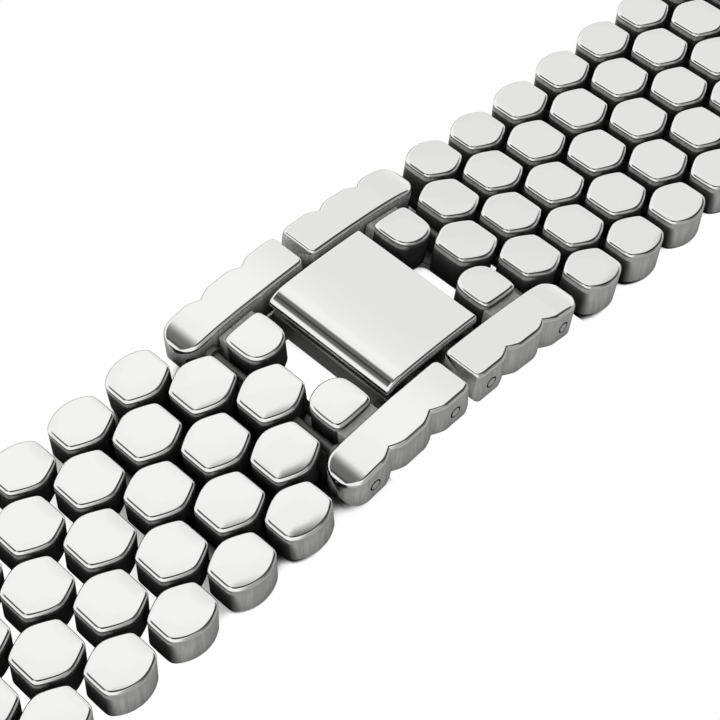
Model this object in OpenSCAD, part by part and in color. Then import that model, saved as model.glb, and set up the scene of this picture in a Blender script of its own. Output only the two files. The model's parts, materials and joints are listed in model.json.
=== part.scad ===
// Metal watch bracelet: a honeycomb of six-sided links on cross pins,
// with a fold-over clasp between its two halves.
// X runs along the band, Y across it, and Z = 0 is the table that it lies on.

/* [Band] */
// Distance from one hinge pin to the next
row_pitch = 2.95; // [2.9:0.05:3.3]
// Distance across the band from one string of links to the next
string_pitch = 4.5; // [4.3:0.1:5]
// Hinged rows on each side of the clasp
rows = 19; // [9:1:19]
// Rows over which the band comes down from the clasp to the table
bend_rows = 5; // [4:1:7]

/* [Links] */
// Length of a link along the band
link_l = 4.75; // [4.6:0.05:4.9]
// Width of a link from tip to tip
link_w = 4.9; // [4.7:0.05:5]
// Thickness of every link and rail
link_t = 3.3; // [3.1:0.1:3.4]
// Slant of a link's four flanks
flank_angle = 27; // [25:1:29]
// Gap between the flanks of neighbouring links
flank_gap = 0.45; // [0.35:0.05:0.6]
// Radius of a link's rounded tip
tip_r = 3.55; // [3.4:0.05:3.8]
// Distance from an outer string's middle to the edge of the band
outer_w = 2; // [1.8:0.05:2.2]
// Radius of an outer link's rounded side
outer_r = 3.3; // [3:0.05:3.6]
// Bevel round a link's face
edge_bevel = 0.25; // [0.1:0.05:0.35]
// Bevel round a link's underside
foot_bevel = 0.45; // [0.3:0.05:0.6]

/* [Pins] */
// Diameter of the hinge pins
pin_d = 0.9; // [0.8:0.05:1]
// Clearance round a pin that turns
run_gap = 0.05; // [0.04:0.01:0.08]
// Clearance round a pin that stays
seat_gap = 0.02; // [0.01:0.01:0.03]
// How far a pin reaches past the middle of an outer link
pin_reach = 0.7; // [0.5:0.1:0.9]
// Depth of the blind holes for the pins in a rail
rail_seat = 1.4; // [1.2:0.1:1.8]
// Diameter of the four rail pins
rail_pin_d = 0.8; // [0.7:0.05:0.9]
// Depth of the rail pins below the rails' tops
rail_pin_depth = 1.85; // [1.8:0.05:1.9]
// Diameter of the rivet heads on the rail pins' ends
head_d = 1.1; // [1:0.05:1.2]
// Length of those heads
head_l = 1; // [0.6:0.1:1.4]
// How far the heads lie inside the rails' sides
pin_recess = 0.15; // [0.1:0.05:0.3]

/* [Rails] */
// Radius of the clasp's curve over the wrist, at its top
clasp_r = 75; // [70:1:90]
// Distance from the clasp's middle to its outermost links
end_row_x = 11.1; // [11:0.05:11.3]
// Distance from the clasp's middle to the outer rail pins
outer_pin_x = 11; // [10.9:0.05:11]
// Distance from the band's middle line to the rails
rail_in = 7.1; // [7.1:0.05:7.3]
// Gap between the left and the right rails
rail_gap = 1; // [0.8:0.1:1.2]
// Length of one scallop of a rail
scallop_l = 4.5; // [4.3:0.05:4.6]
// Radius of a scallop
scallop_r = 4.2; // [4:0.1:4.6]
// Depth of the notches between the scallops
notch = 0.65; // [0.4:0.05:0.8]
// Rounding of a rail's outer end, seen from above
rail_end_r = 1.6; // [1.2:0.1:1.7]
// Radius of the bend by which a rail's top comes down at its outer end
rail_nose_r = 7; // [6:0.5:10]
// Length of that bend
rail_nose_l = 2.2; // [1.8:0.1:2.6]
// Rounding under a rail's ends
rail_heel_r = 0.9; // [0.5:0.1:1]
// Rounding of a rail's inner end, seen from above
rail_start_r = 0.5; // [0.3:0.1:0.8]
// Distance from the clasp's middle to the inner rail pins
inner_pin_x = 2.1; // [2.1:0.05:2.3]

/* [Small links] */
// Distance from the clasp's middle to the small links' middles
small_x = 8.3; // [8.2:0.05:8.4]
// Length of the small links beside the rails
small_l = 4; // [3.9:0.05:4.1]
// Width of the small links
small_w = 4; // [3.8:0.05:4.1]
// Distance from the band's middle line to a small link's middle
small_y = 4.3; // [4.2:0.05:4.35]
// Radius of a small link's rounded side
small_r = 2.6; // [2.5:0.05:2.8]
// How far the short pins reach past a small link's middle
pin_grip = 1; // [0.6:0.1:1.2]
// Width of the ledge between a small link and its rail
ledge_w = 0.65; // [0.4:0.05:0.7]
// Depth of that ledge below the small link's face
ledge_drop = 0.7; // [0.5:0.1:1]

/* [Folding plates] */
// Thickness of the base plate and of the blade
plate_t = 0.6; // [0.55:0.05:0.7]
// Clearance between plates that fold on each other
fold_gap = 0.1; // [0.08:0.01:0.14]
// Width of the base plate
base_w = 14; // [13.6:0.1:14]
// Width of the blade
blade_w = 13.2; // [12.8:0.1:13.4]
// How far the blade's free end lies inside the ends of the rails that it carries
blade_inset = 0.4; // [0.3:0.1:0.5]
// Height of the ribs between the blade's lugs, over the rails' undersides
rib_h = 0.6; // [0.4:0.1:0.7]
// Distance from the clasp's middle to the blade's hinge
hinge_x = 11.2; // [11.1:0.05:11.3]
// Diameter of the hinge's pin
hinge_pin_d = 0.7; // [0.6:0.05:0.7]
// Width of the blade's knuckle
knuckle_w = 7.8; // [6:0.2:8.4]
// Distance from the clasp's middle to the wall under the lid's finger edge
wall_x = 4.7; // [4.6:0.05:4.8]
// Thickness of that wall
wall_t = 0.6; // [0.5:0.05:0.7]
// Depth of the wall's top below the rails' tops
wall_top = 2.35; // [2:0.05:2.5]
// Bevel along the wall's top
wall_bevel = 0.12; // [0.05:0.01:0.15]
// Bevel along the wall's foot
wall_foot = 0.5; // [0.3:0.05:0.6]
// Length of the window on the left, from the wall outwards
deck_window_l = 3.7; // [3.4:0.1:3.9]
// Width of that window
deck_window_w = 10; // [9:0.2:10.4]
// Distance from the clasp's middle to the window on the right
window_x = 5.6; // [5.5:0.05:5.7]
// Length of the window on the right
window_l = 4.1; // [3.8:0.1:4.2]
// Width of the window on the right
window_w = 6.4; // [5.6:0.2:7]
// Rounding of the windows' corners
window_r = 0.8; // [0.5:0.1:1]
// Thickness of the lugs that hold the rail pins
lug_t = 1.5; // [1.2:0.1:1.8]
// Radius of the lugs round the rail pins
lug_r = 0.85; // [0.8:0.05:0.85]
// Thickness of the lugs at the fixed rails' outer pin
ear_t = 0.5; // [0.4:0.05:0.55]

/* [Lid] */
// Length of the lid to the left of the clasp's middle
lid_left = 5.2; // [5.1:0.05:5.3]
// Length of the lid to the right of the clasp's middle
lid_right = 5.1; // [5:0.05:5.2]
// Width of the lid
lid_w = 13.2; // [13:0.1:13.4]
// Thickness of the lid
lid_t = 0.9; // [0.8:0.05:0.9]
// Height of the lid above the rails
lid_proud = 0.1; // [0:0.05:0.2]
// Radius of the lid's rolled finger edge
roll_r = 0.9; // [0.9:0.05:1.1]
// Depth of the finger edge below the rails' tops
lip_depth = 1.05; // [0.95:0.05:1.1]
// Thickness of the finger edge
lip_t = 0.6; // [0.5:0.05:0.7]
// Distance from the clasp's middle to the lid's hinge
lid_pin_x = 4.3; // [4.2:0.05:4.4]
// Depth of the lid's hinge below the rails' tops
lid_pin_depth = 1.5; // [1.45:0.05:1.6]
// Diameter of the lid's pin
lid_pin_d = 0.7; // [0.6:0.05:0.75]
// Radius of the lid's knuckles
lid_knuckle_r = 0.65; // [0.6:0.05:0.65]
// Width of the lid's claw
claw_w = 3; // [2:0.2:4]
// Clearance between the claw and the pin that it takes
claw_gap = 0.15; // [0.12:0.01:0.2]
// Thickness of the claw's fingers
claw_t = 0.45; // [0.35:0.05:0.6]

/* [End links] */
// How far the end links' sides lie inside the band's edges, to clear the watch's lugs
end_trim = 0.1; // [0.05:0.05:0.6]
// Distance from the end links' middle row to the bar that joins their fingers
end_bar_x = 0.5; // [0.4:0.1:0.8]
// Distance from the end links' middle row to the bore for the spring bar
end_reach = 4.2; // [3.5:0.1:6]
// Diameter of the bore for the spring bar
spring_bar_d = 1.9; // [1.6:0.1:2]

/* [Hidden] */
SMOOTH = 48;
FINE = 360;
// where the search for the band's first slope starts, in degrees, and how often it is bettered
FIRST_GUESS = 9;
TRIES = 6;
// room that cuts and bars run past what they shape, and that laps join by
past = 1;
lap = 0.1;

first_row = 2;
last_row = first_row + rows - 1;
pin_r = pin_d / 2;
rail_pin_r = rail_pin_d / 2;
hinge_pin_r = hinge_pin_d / 2;
lid_pin_r = lid_pin_d / 2;
flank_d = (row_pitch * sin(flank_angle) + string_pitch * cos(flank_angle) - flank_gap) / 2;
band_half = 2 * string_pitch + outer_w;
pin_half = 2 * string_pitch + pin_reach;
end_w = 2 * (band_half - end_trim);
long = 2 * band_half + past;

// depths of the folding plates below the rails' tops
blade_top = link_t + fold_gap;
base_top = blade_top + plate_t + fold_gap;
base_foot = base_top + plate_t;
hinge_depth = (blade_top + base_foot) / 2;
knuckle_r = (base_foot - blade_top) / 2;
base_end = hinge_x + knuckle_r;
rail_end = end_row_x + link_l / 2;
rail_start = rail_gap / 2;
rail_mid = (rail_start + rail_end) / 2;
rail_slope = asin(rail_mid / clasp_r);
// height of a rail's lower inner edge, in the rail's own frame with its middle's top as the origin
start_foot = sqrt(pow(clasp_r - link_t, 2) - pow(rail_mid - rail_start, 2)) - clasp_r;
deck_inner = wall_x - wall_t;
blade_start = rail_start + blade_inset;
head_top = band_half - pin_recess;
head_foot = head_top - head_l;

// the clasp's plates lie round one centre, with the base's ends on the table
arc_z = -sqrt(pow(clasp_r - base_foot, 2) - pow(base_end, 2));
function z_at(x, depth) = arc_z + sqrt(pow(clasp_r - depth, 2) - x * x);

// the small links and the centre link are held between the rails;
// the centre link ends at the band's first hinge pin
mid_r = clasp_r - link_t / 2;
function along(angle) = [cos(angle), -sin(angle)];
small_slope = asin(small_x / mid_r);
small_mid = [small_x, z_at(small_x, link_t / 2)];
centre_slope = asin(end_row_x / mid_r);
centre_mid = [end_row_x, z_at(end_row_x, link_t / 2)];
seat_pin = centre_mid - along(centre_slope) * row_pitch / 2;
first_pin = centre_mid + along(centre_slope) * row_pitch / 2;

// the band comes down from its first pin to the table at slopes that fall evenly to nothing
drop = first_pin[1] - link_t / 2;
function total(list, i = 0) = i == len(list) ? 0 : list[i] + total(list, i + 1);
function fall(steep) = row_pitch * total([for (i = [0 : bend_rows - 1]) sin(steep * (1 - i / bend_rows))]);
function steepest(steep, tries) = tries == 0 ? steep : steepest(steep * drop / fall(steep), tries - 1);
first_slope = steepest(FIRST_GUESS, TRIES);
function slope(k) = first_slope * max(0, 1 - (k - first_row) / bend_rows);
function pin_at(k) = k < first_row ? first_pin : pin_at(k - 1) + along(slope(k)) * row_pitch;
function strings(k) = k % 2 == 0 ? [-1, 1] : [-2, 0, 2];
function row_name(side, k) = str(side, "_row_", k < 10 ? "0" : "", k);

SIDES = ["left", "right"];
ROW_NODES = [for (side = SIDES, k = [first_row : last_row]) row_name(side, k)];
CLASP_NODES = [
    "base_plate", "left_near_rail", "left_far_rail", "left_inner_pin", "left_outer_pin",
    "left_small_links", "left_centre_link", "blade", "blade_pin", "lid", "lid_pin",
    "right_near_rail", "right_far_rail", "right_inner_pin", "right_outer_pin",
    "right_small_links", "right_centre_link"
];

// A cylinder along Y, centred on the plane y = 0 or running from y0 to y1
module rod(r, y0, y1) {
    translate([0, y1, 0]) rotate([90, 0, 0]) cylinder(r = r, h = y1 - y0, $fn = SMOOTH);
}

// A rod at a point of the side view
module rod_at(p, r, y0, y1) {
    translate([p[0], 0, p[1]]) rod(r, y0, y1);
}

// A side view, drawn in X and Z, carried across the band from y0 to y1
module across(y0, y1) {
    translate([0, y1, 0]) rotate([90, 0, 0]) linear_extrude(y1 - y0) children();
}

module on_side(side) {
    if (side == "left") mirror([1, 0, 0]) children();
    else children();
}

// The near rails are at negative Y
module on_edge(edge) {
    if (edge == "near") mirror([0, 1, 0]) children();
    else children();
}

// A link's cross section from low to high, bevelled above and below
module section(low, high, t) {
    polygon([
        [low + edge_bevel, t / 2], [high - edge_bevel, t / 2], [high, t / 2 - edge_bevel],
        [high, foot_bevel - t / 2], [high - foot_bevel, -t / 2], [low + foot_bevel, -t / 2],
        [low, foot_bevel - t / 2], [low, t / 2 - edge_bevel]
    ]);
}

// The section carried along a line at an angle to Y
module bar(low, high, turn, t = link_t) {
    rotate([0, 0, turn]) rotate([90, 0, 0]) linear_extrude(long, center = true) section(low, high, t);
}

// A round disc with the links' bevels, centred at y
module disc(r, y, t = link_t) {
    translate([0, y, 0]) rotate_extrude($fn = SMOOTH * 2)
        polygon([
            [0, -t / 2], [r - foot_bevel, -t / 2], [r, foot_bevel - t / 2],
            [r, t / 2 - edge_bevel], [r - edge_bevel, t / 2], [0, t / 2]
        ]);
}

// A six-sided link, centred on its own middle; out is 1 or -1 for one with a rounded outer side
module link(out = 0) {
    open = long / 2;
    intersection() {
        bar(-link_l / 2, link_l / 2, 0);
        bar(out < 0 ? -open : -flank_d, out > 0 ? open : flank_d, 90 - flank_angle);
        bar(out < 0 ? -open : -flank_d, out > 0 ? open : flank_d, 90 + flank_angle);
        if (out <= 0) disc(tip_r, link_w / 2 - tip_r);
        if (out >= 0) disc(tip_r, tip_r - link_w / 2);
        if (out != 0) disc(outer_r, out * (outer_w - outer_r));
    }
}

// The links of one row, without holes
module row_links(k) {
    for (s = strings(k)) translate([0, s * string_pitch, 0]) link(s == 2 ? 1 : s == -2 ? -1 : 0);
}

module row_shape(k) {
    difference() {
        row_links(k);
        translate([-row_pitch / 2, 0, 0]) rod(pin_r + run_gap, -pin_half - lap, pin_half + lap);
        translate([row_pitch / 2, 0, 0]) rod(pin_r + seat_gap, -pin_half - lap, pin_half + lap);
    }
    translate([row_pitch / 2, 0, 0]) rod(pin_r, -pin_half, pin_half);
}

// Puts a row's own frame at its place in the right half
module at_row(k) {
    middle = (pin_at(k - 1) + pin_at(k)) / 2;
    translate([middle[0], 0, middle[1]]) rotate([0, slope(k), 0]) children();
}

module band_row(side, k) {
    color("silver") on_side(side) at_row(k) row_shape(k);
}

// The last link of a half, with the bore for a watch's spring bar
module end_link(side) {
    k = last_row + 1;
    color("silver") on_side(side) at_row(k) difference() {
        union() {
            intersection() {
                row_links(k);
                translate([-long, -end_w / 2, -link_t]) cube([long + past, end_w, 2 * link_t]);
            }
            across(-end_w / 2, end_w / 2) {
                translate([end_bar_x, -link_t / 2]) square([end_reach - end_bar_x, link_t]);
                translate([end_reach, 0]) circle(r = link_t / 2, $fn = SMOOTH);
            }
        }
        translate([-row_pitch / 2, 0, 0]) rod(pin_r + run_gap, -pin_half - lap, pin_half + lap);
        translate([end_reach, 0, 0]) rod(spring_bar_d / 2, -end_w / 2 - past, end_w / 2 + past);
    }
}

// Side view of a curved plate between two depths, from x0 to x1
module curved(top, foot, x0, x1) {
    intersection() {
        translate([0, arc_z]) difference() {
            circle(r = clasp_r - top, $fn = FINE);
            circle(r = clasp_r - foot, $fn = FINE);
        }
        translate([x0, 0]) square([x1 - x0, 2 * base_foot]);
    }
}

// What rounding a square corner at the origin takes away; the corner points to +X and +Y
module corner_cut(r) {
    difference() {
        translate([-r, -r]) square(r + past);
        translate([-r, -r]) circle(r = r, $fn = SMOOTH);
    }
}

// What rounding takes away where the last scallop meets the rail's outer end
module crest_cut() {
    crest = [rail_end - scallop_l / 2, band_half - scallop_r];
    side = scallop_l / 2 - rail_end_r;
    turn = asin(side / (scallop_r - rail_end_r));
    middle = crest + (scallop_r - rail_end_r) * [sin(turn), cos(turn)];
    top = crest + (scallop_r + past) * [sin(turn), cos(turn)];
    difference() {
        polygon([middle, top, [rail_end + past, top[1]], [rail_end + past, middle[1]]]);
        translate(middle) circle(r = rail_end_r, $fn = SMOOTH);
    }
}

// A rail from above: three scallops on its outer side, rounded at its outer end
module rail_plan() {
    difference() {
        union() {
            translate([rail_start, rail_in])
                square([rail_end - rail_start, band_half - notch - rail_in]);
            for (i = [0 : 2]) intersection() {
                translate([rail_end - (i + 0.5) * scallop_l, band_half - scallop_r])
                    circle(r = scallop_r, $fn = 2 * SMOOTH);
                translate([max(rail_start, rail_end - (i + 1) * scallop_l), rail_in])
                    square([min(scallop_l, rail_end - i * scallop_l - rail_start), long]);
            }
        }
        crest_cut();
        translate([rail_end, rail_in]) mirror([0, 1]) corner_cut(rail_end_r);
        translate([rail_start, rail_in]) rotate(180) corner_cut(rail_start_r);
    }
}

// What the bend over a rail's outer end takes away; the end's upper corner is at the origin
module nose_cut() {
    difference() {
        translate([-rail_nose_l, -rail_nose_l]) square(rail_nose_l + past);
        translate([-rail_nose_l, -rail_nose_r]) circle(r = rail_nose_r, $fn = FINE);
        translate([-rail_nose_l, -rail_nose_r]) square([rail_nose_l + past, rail_nose_r - rail_nose_l]);
    }
}

// A rail from the side: a curved bar that comes down at its outer end; its inner end is square
// to its slope
module rail_side() {
    difference() {
        curved(0, link_t, rail_start - past, rail_end + past);
        translate([rail_end, z_at(rail_end, 0)]) rotate(-asin(rail_end / clasp_r)) {
            translate([0, -2 * link_t]) square(4 * link_t);
            nose_cut();
            translate([0, -link_t]) mirror([0, 1]) corner_cut(rail_heel_r);
        }
        translate([rail_mid, z_at(rail_mid, 0)]) rotate(-rail_slope)
            translate([rail_start - rail_mid, start_foot]) rotate(180) corner_cut(rail_heel_r);
    }
}

inner_pin = [inner_pin_x, z_at(inner_pin_x, rail_pin_depth)];
outer_pin = [outer_pin_x, z_at(outer_pin_x, rail_pin_depth)];
hinge = [hinge_x, z_at(hinge_x, hinge_depth)];
lid_hinge = [lid_pin_x, z_at(lid_pin_x, lid_pin_depth)];
short_pin = small_mid - along(small_slope) * row_pitch / 4;

module rail(side, edge) {
    color("silver") on_side(side) on_edge(edge) difference() {
        intersection() {
            translate([rail_mid, 0, z_at(rail_mid, 0)]) rotate([0, rail_slope, 0]) translate([-rail_mid, 0, 0])
                linear_extrude(4 * link_t, center = true) rail_plan();
            across(rail_in - past, band_half + past) rail_side();
        }
        for (p = [inner_pin, outer_pin]) {
            rod_at(p, rail_pin_r + seat_gap, rail_in - past, band_half + past);
            rod_at(p, head_d / 2 + seat_gap, head_foot - seat_gap, band_half + past);
        }
        for (p = [seat_pin, first_pin, short_pin])
            rod_at(p, pin_r + seat_gap, rail_in - past, rail_in + rail_seat);
    }
}

// A pin from rail to rail, with a rivet head in each rail's outer wall
module rail_pin(side, p) {
    color("gainsboro") on_side(side) {
        rod_at(p, rail_pin_r, -head_foot, head_foot);
        rod_at(p, head_d / 2, head_foot, head_top);
        rod_at(p, head_d / 2, -head_top, -head_foot);
    }
}

// One small link about its own middle, with its ledge towards positive Y
module small_link() {
    intersection() {
        bar(-small_l / 2, small_l / 2, 0);
        bar(-long / 2, small_w / 2, 90);
        disc(small_r, small_r - small_w / 2);
    }
    translate([0, small_w / 2 + ledge_w / 2 - edge_bevel / 2, -ledge_drop / 2])
        cube([small_l - 2 * edge_bevel, ledge_w + edge_bevel, link_t - ledge_drop], center = true);
}

// The two small links, their shared pin and the short pins that stop them turning
module small_links(side) {
    pin_end = rail_in + rail_seat - run_gap;
    color("silver") on_side(side) {
        for (s = [-1, 1]) {
            difference() {
                translate([small_mid[0], 0, small_mid[1]]) rotate([0, small_slope, 0])
                    mirror([0, s < 0 ? 1 : 0, 0]) translate([0, small_y, 0]) small_link();
                rod_at(seat_pin, pin_r + seat_gap, -long / 2, long / 2);
                rod_at(short_pin, pin_r + seat_gap, -long / 2, long / 2);
            }
            rod_at(short_pin, pin_r, s > 0 ? small_y - pin_grip : -pin_end, s > 0 ? pin_end : pin_grip - small_y);
        }
        rod_at(seat_pin, pin_r, -pin_end, pin_end);
    }
}

// The middle link of row 1 and the pin that the band hinges on
module centre_link(side) {
    pin_end = rail_in + rail_seat - run_gap;
    color("silver") on_side(side) {
        difference() {
            translate([centre_mid[0], 0, centre_mid[1]]) rotate([0, centre_slope, 0]) link();
            rod_at(outer_pin, rail_pin_r + seat_gap, -long / 2, long / 2);
            for (p = [seat_pin, first_pin]) rod_at(p, pin_r + seat_gap, -long / 2, long / 2);
        }
        rod_at(first_pin, pin_r, -pin_end, pin_end);
    }
}

// Side view of a lug that rises to a pin from a plate at the given depth
module lug_side(p, r, foot) {
    translate(p) circle(r = r, $fn = SMOOTH);
    low = z_at(p[0], foot);
    translate([p[0] - r, low]) square([2 * r, p[1] - low]);
}

// A window through the plates on the right, from x outwards, with rounded outer corners
module window(x, l, w) {
    linear_extrude(2 * base_foot, center = true) difference() {
        translate([x, -w / 2]) square([l, w]);
        for (s = [-1, 1]) translate([x + l, s * w / 2]) mirror([0, s < 0 ? 1 : 0]) corner_cut(window_r);
    }
}

// What a bevel takes from the wall's outer side at a depth, over a width
module wall_cut(depth, bevel, w) {
    across(-w / 2, w / 2) translate([-wall_x, z_at(wall_x, depth)])
        rotate(45) square(sqrt(2) * bevel, center = true);
}

// The plate against the wrist. Its left half is a thick deck that carries the fixed rails, with
// a wide window and a wall at the window's inner side; the blade folds down on its right half.
module base_plate() {
    lug_y = lid_w / 2 - fold_gap;
    knuckle_clear = knuckle_r + fold_gap;
    color("gray") difference() {
        union() {
            across(-base_w / 2, base_w / 2) {
                curved(base_top, base_foot, -deck_inner - lap, hinge_x);
                translate(hinge) circle(r = knuckle_r, $fn = SMOOTH);
                curved(blade_top, base_foot, -base_end, -deck_inner);
            }
            across(-lug_y, lug_y) curved(wall_top, blade_top + lap, -wall_x, -deck_inner);
            for (s = [-1, 1]) {
                y0 = s > 0 ? lug_y - lug_t : -lug_y;
                mirror([1, 0, 0]) across(y0, y0 + lug_t) lug_side(inner_pin, lug_r, base_top + lap);
                e0 = s > 0 ? base_w / 2 - ear_t : -base_w / 2;
                mirror([1, 0, 0]) across(e0, e0 + ear_t) lug_side(outer_pin, lug_r - fold_gap, blade_top + lap);
            }
        }
        mirror([1, 0, 0]) window(wall_x, deck_window_l, deck_window_w);
        window(window_x, window_l, window_w);
        wall_cut(wall_top, wall_bevel, long);
        wall_cut(base_foot, wall_foot, deck_window_w);
        // the blade's knuckle turns in this notch
        translate([hinge_x - knuckle_clear, -knuckle_w / 2 - fold_gap, -past])
            cube([long, knuckle_w + 2 * fold_gap, 2 * base_foot]);
        rod_at(hinge, hinge_pin_r + seat_gap, -long / 2, long / 2);
        mirror([1, 0, 0]) for (p = [inner_pin, outer_pin])
            rod_at(p, rail_pin_r + seat_gap, -long / 2, long / 2);
    }
}

// The folding blade, hinged at the base's right end, with lugs for the moving rails and the lid
module blade() {
    lug_y = blade_w / 2 - fold_gap;
    knuckle_clear = knuckle_r + fold_gap;
    color("darkgray") difference() {
        union() {
            difference() {
                across(-blade_w / 2, blade_w / 2) {
                    curved(blade_top, blade_top + plate_t, blade_start, hinge_x);
                    translate(hinge) circle(r = knuckle_r, $fn = SMOOTH);
                }
                // the base's knuckles turn in these notches
                for (s = [0, 1]) mirror([0, s, 0])
                    translate([hinge_x - knuckle_clear, knuckle_w / 2, -past])
                        cube([long, blade_w, 2 * base_foot]);
            }
            for (s = [-1, 1]) {
                y0 = s > 0 ? lug_y - lug_t : -lug_y;
                across(y0, y0 + lug_t) {
                    lug_side(inner_pin, lug_r, blade_top + lap);
                    lug_side(lid_hinge, lid_knuckle_r - run_gap, blade_top + lap);
                    curved(link_t - rib_h, blade_top + lap, inner_pin_x, lid_pin_x);
                }
            }
        }
        window(window_x, window_l, window_w);
        rod_at(hinge, hinge_pin_r + run_gap, -long / 2, long / 2);
        rod_at(inner_pin, rail_pin_r + run_gap, -long / 2, long / 2);
        rod_at(lid_hinge, lid_pin_r + seat_gap, -long / 2, long / 2);
    }
}

module blade_pin() {
    color("gainsboro") rod_at(hinge, hinge_pin_r, fold_gap - base_w / 2, base_w / 2 - fold_gap);
}

module lid_pin() {
    color("gainsboro") rod_at(lid_hinge, lid_pin_r, 2 * fold_gap - blade_w / 2, blade_w / 2 - 2 * fold_gap);
}

// Side view of the lid's plate, with its rolled finger edge on the left
module lid_side() {
    foot = lid_t - lid_proud;
    difference() {
        union() {
            curved(-lid_proud, foot, -lid_left, lid_right);
            curved(foot - lap, lip_depth, -lid_left, lip_t - lid_left);
        }
        translate([-lid_left, z_at(lid_left, -lid_proud)]) rotate(asin(lid_left / clasp_r)) {
            mirror([1, 0]) corner_cut(roll_r);
            translate([-past, -roll_r - past]) square(past);
        }
    }
}

// The lid: a plate over both inner pins, a claw that takes the left one and knuckles on the right
module lid() {
    foot = lid_t - lid_proud - lap;
    knuckle_y = blade_w / 2 - lug_t - 2 * fold_gap;
    pin = [-inner_pin[0], inner_pin[1]];
    color("silver") difference() {
        union() {
            across(-lid_w / 2, lid_w / 2) lid_side();
            across(-claw_w / 2, claw_w / 2) for (s = [-1, 1])
                curved(foot, rail_pin_depth, pin[0] + s * (rail_pin_r + claw_gap + claw_t / 2) - claw_t / 2,
                    pin[0] + s * (rail_pin_r + claw_gap + claw_t / 2) + claw_t / 2);
            for (s = [0, 1]) mirror([0, s, 0]) across(knuckle_y - lug_t, knuckle_y) {
                translate(lid_hinge) circle(r = lid_knuckle_r, $fn = SMOOTH);
                translate([lid_pin_x - lid_knuckle_r, lid_hinge[1]])
                    square([2 * lid_knuckle_r, z_at(lid_pin_x, foot) - lid_hinge[1]]);
            }
        }
        rod_at(lid_hinge, lid_pin_r + run_gap, -knuckle_y - past / 2, knuckle_y + past / 2);
    }
}

for (side = SIDES) {
    for (edge = ["near", "far"])
        rail(side, edge);
    rail_pin(side, inner_pin);
    rail_pin(side, outer_pin);
    small_links(side);
    centre_link(side);
    for (k = [first_row : last_row])
        band_row(side, k);
    end_link(side);
}
base_plate();
blade();
blade_pin();
lid();
lid_pin();
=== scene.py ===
# %% [markdown]
# A metal watch bracelet lies on a white table. It is a chain of small six-sided
# links on cross pins, with a fold-over clasp in the middle. The exact solids come
# in as a fixed frame. Here the visible pieces get softly rounded edges and polished
# steel, because a mirror finish shows every edge as a dark and a bright line.

# %% Load the frame
import json
import math

import bpy
import numpy as np
from mathutils import Matrix, Vector

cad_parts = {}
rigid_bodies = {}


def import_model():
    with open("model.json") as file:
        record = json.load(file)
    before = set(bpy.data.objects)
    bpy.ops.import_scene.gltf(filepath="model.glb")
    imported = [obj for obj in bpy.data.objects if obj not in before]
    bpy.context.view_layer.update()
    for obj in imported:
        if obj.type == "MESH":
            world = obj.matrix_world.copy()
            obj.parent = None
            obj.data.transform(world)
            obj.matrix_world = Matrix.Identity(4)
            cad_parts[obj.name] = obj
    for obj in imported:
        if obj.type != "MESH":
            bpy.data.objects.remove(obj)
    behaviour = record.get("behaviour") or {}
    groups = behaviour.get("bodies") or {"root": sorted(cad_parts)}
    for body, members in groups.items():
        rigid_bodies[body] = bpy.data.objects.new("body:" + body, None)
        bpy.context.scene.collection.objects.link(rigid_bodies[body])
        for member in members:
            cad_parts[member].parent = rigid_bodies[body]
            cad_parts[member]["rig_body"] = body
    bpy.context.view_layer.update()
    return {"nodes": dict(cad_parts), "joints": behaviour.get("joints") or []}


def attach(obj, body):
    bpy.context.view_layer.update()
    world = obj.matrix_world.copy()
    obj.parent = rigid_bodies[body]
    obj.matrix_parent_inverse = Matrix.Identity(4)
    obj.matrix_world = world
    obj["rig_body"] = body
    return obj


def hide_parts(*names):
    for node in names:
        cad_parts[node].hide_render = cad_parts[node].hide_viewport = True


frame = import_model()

joints = {joint["name"]: joint for joint in frame["joints"]}
print("nodes:", len(frame["nodes"]), "joints:", len(joints))

# %% [markdown]
# The camera comes first, so that every later step can be judged in its view. It
# looks down on the clasp from the left front with a long lens, which keeps the rows
# of links nearly parallel. It is set by the point on the table that it looks at, its
# direction and distance from there, and its roll about the line of sight, all found
# by lining up the links' faces.

# %% The camera
AIM, DISTANCE = (-0.001266, -0.000128, 0.0), 0.151245
AZIMUTH, ELEVATION, ROLL = -139.208, 50.914, 3.715
SENSOR, LENS = 36.0, 93.4


def towards(azimuth, elevation):
    """The unit vector that points to a place in the sky, given in degrees."""
    a, e = math.radians(azimuth), math.radians(elevation)
    return Vector((math.cos(a) * math.cos(e), math.sin(a) * math.cos(e), math.sin(e)))


def camera_turn(back, roll):
    """A camera looks along its own -Z, so its Z points back at the viewer.
    Its X is level and square to Z, and its Y is square to both.
    The roll, in degrees, then turns it round its own Z."""
    level = Vector((0, 0, 1)).cross(back).normalized()
    axes = Matrix((level, back.cross(level), back)).transposed()
    return axes @ Matrix.Rotation(math.radians(roll), 3, "Z")


back = towards(AZIMUTH, ELEVATION)
eye = Vector(AIM) + back * DISTANCE
camera = bpy.data.objects.new("camera", bpy.data.cameras.new("camera"))
camera.data.sensor_width = SENSOR
camera.data.lens = LENS
camera.data.clip_start = 0.005
camera.matrix_world = Matrix.Translation(eye) @ camera_turn(back, ROLL).to_4x4()
bpy.context.scene.collection.objects.link(camera)
bpy.context.scene.camera = camera
print("camera at", [round(v * 1000, 1) for v in eye], "mm")

# %% [markdown]
# The sizes below are the bracelet's own, in millimetres, as in its drawing. Where a
# piece sits is read from the frame: every hinge of the chain gives one pin's place.
# The clasp's pieces follow a curve over the wrist, whose centre is worked out from
# the pin on which the right half of the clasp turns.

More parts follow.
